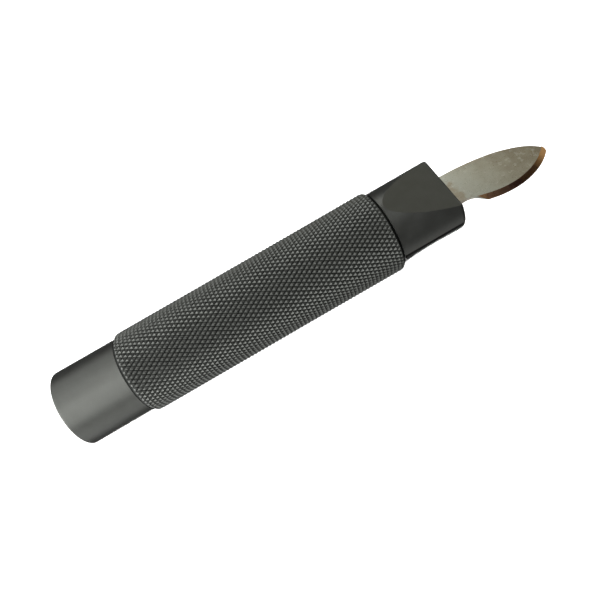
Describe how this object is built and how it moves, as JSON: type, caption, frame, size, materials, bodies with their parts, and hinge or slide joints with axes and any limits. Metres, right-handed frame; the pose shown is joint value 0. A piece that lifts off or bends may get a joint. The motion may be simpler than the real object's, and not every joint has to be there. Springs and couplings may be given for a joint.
{
  "type": "watch case knife",
  "caption": "Bench knife for prising off watch case backs: knurled handle, split head that clamps an interchangeable blade, and a screwed rear cap.",
  "frame": {"origin": "centre of the rear cap's flat end face, on the handle's axis", "axes": "+X along the handle towards the blade's point, +Z square to the blade on the side of the head's sloping flat, +Y towards the blade's spine"},
  "size_m": [0.1039, 0.017, 0.017],
  "materials": {
    "knurled_aluminium": "diamond knurled, dark grey anodised",
    "smooth_aluminium": "fine blasted, dark grey anodised",
    "blade_steel": "satin, with a straw to brown tempered cutting bevel",
    "bright_steel": "ground",
    "screw_steel": "black oxide",
    "spring_steel": "drawn spring wire",
    "seal_rubber": "moulded nitrile rubber"
  },
  "bodies": {
    "handle": {"grip": "knurled_aluminium", "upper_jaw": "smooth_aluminium", "draw_bolt": "screw_steel", "draw_bolt_washer": "bright_steel", "index_pin": "bright_steel", "clamp_thread_bush": "bright_steel", "blade_stop_pins": "bright_steel", "jaw_pivot_pin": "bright_steel", "jaw_spring": "spring_steel"},
    "moving_jaw": {"lower_jaw": "smooth_aluminium"},
    "blade": {"blade": "blade_steel"},
    "screw_washer": {"clamp_washer": "bright_steel"},
    "screw": {"clamp_screw": "screw_steel"},
    "seal": {"cap_seal": "seal_rubber"},
    "cap": {"rear_cap": "smooth_aluminium"}
  },
  "joints": [
    {"name": "clamp_screw_travel", "type": "slide", "parent": "handle", "child": "screw_washer", "axis": [0, 0, -1], "range_m": [0, 0.000751]},
    {"name": "clamp_screw_turn", "type": "hinge", "parent": "screw_washer", "child": "screw", "pos_m": [0.0755, 0, 0], "axis": [0, 0, -1], "range_deg": [0, 540.01]},
    {"name": "jaw_open", "type": "hinge", "parent": "handle", "child": "moving_jaw", "pos_m": [0.058, 0, -0.0021], "axis": [0, 1, 0], "range_deg": [0, 2.09]},
    {"name": "blade_slide", "type": "slide", "parent": "handle", "child": "blade", "axis": [1, 0, 0], "range_m": [0, 0.012]},
    {"name": "cap_travel", "type": "slide", "parent": "handle", "child": "seal", "axis": [-1, 0, 0], "range_m": [0, 0.0045]},
    {"name": "cap_turn", "type": "hinge", "parent": "seal", "child": "cap", "pos_m": [0, 0, 0], "axis": [-1, 0, 0], "range_deg": [0, 1620]}
  ],
  "couplings": [
    {"joint": "clamp_screw_travel", "follows": "jaw_open", "m_per_rad": 0.0206},
    {"joint": "clamp_screw_turn", "follows": "jaw_open", "ratio": 258.87},
    {"joint": "cap_travel", "follows": "cap_turn", "m_per_rad": 0.00015915}
  ]
}
